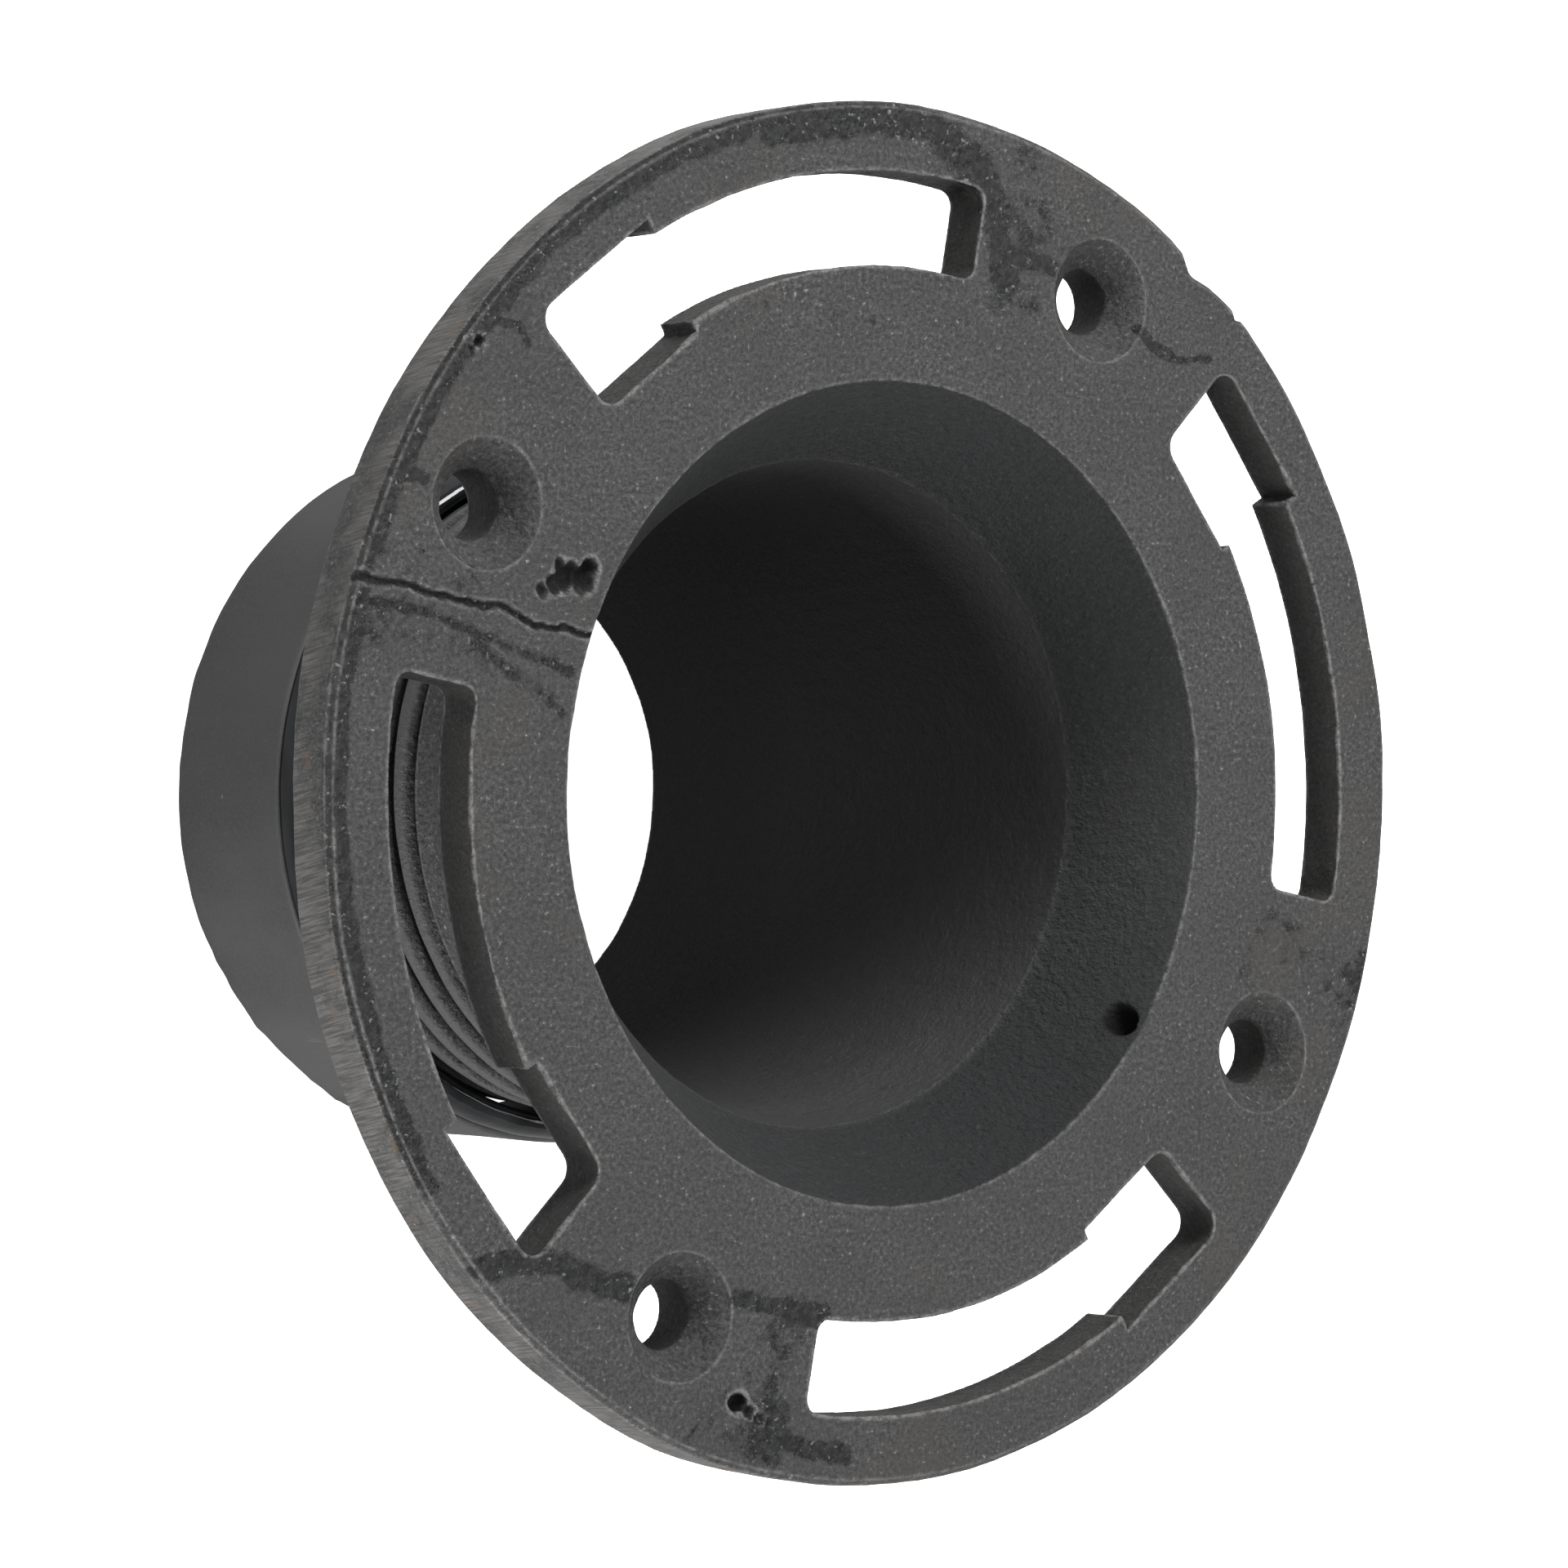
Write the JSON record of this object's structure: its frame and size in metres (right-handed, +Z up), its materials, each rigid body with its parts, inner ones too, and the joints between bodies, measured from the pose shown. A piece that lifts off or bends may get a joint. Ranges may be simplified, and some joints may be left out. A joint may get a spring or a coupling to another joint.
{
  "type": "toilet flange",
  "caption": "Twist-to-set closet flange: cast-iron bolt ring with a flared mouth and a threaded hub that screws down through a rubber gasket to seal inside a soil pipe.",
  "frame": {"origin": "on the bore's axis, in the floor plane, at the lower faces of the screw bosses", "axes": "+Z up along the bore towards the toilet bowl; +X from the axis through the right-hand side, with the first screw hole at 61.5 degrees counter-clockwise from it seen from above"},
  "size_m": [0.1778, 0.1778, 0.095],
  "materials": {
    "painted_iron": "sand-cast grey iron, black paint worn thin, rim ground to bare metal",
    "gloss_black": "gloss black, wet-looking",
    "black_rubber": "matte charcoal black rubber with fine scuffs"
  },
  "bodies": {
    "flange": {"flange_casting": "painted_iron"},
    "slip_ring": {"slip_ring": "gloss_black"},
    "gasket": {"rubber_gasket": "black_rubber"}
  },
  "joints": [
    {"name": "thread_advance", "type": "slide", "parent": "flange", "child": "slip_ring", "axis": [0, 0, 1], "range_m": [0, 0.0221]},
    {"name": "gasket_twist", "type": "hinge", "parent": "slip_ring", "child": "gasket", "pos_m": [0, 0, -0.0725], "axis": [0, 0, 1], "range_deg": [0, 1440]}
  ],
  "couplings": [
    {"joint": "thread_advance", "follows": "gasket_twist", "m_per_rad": 0.00087535}
  ]
}
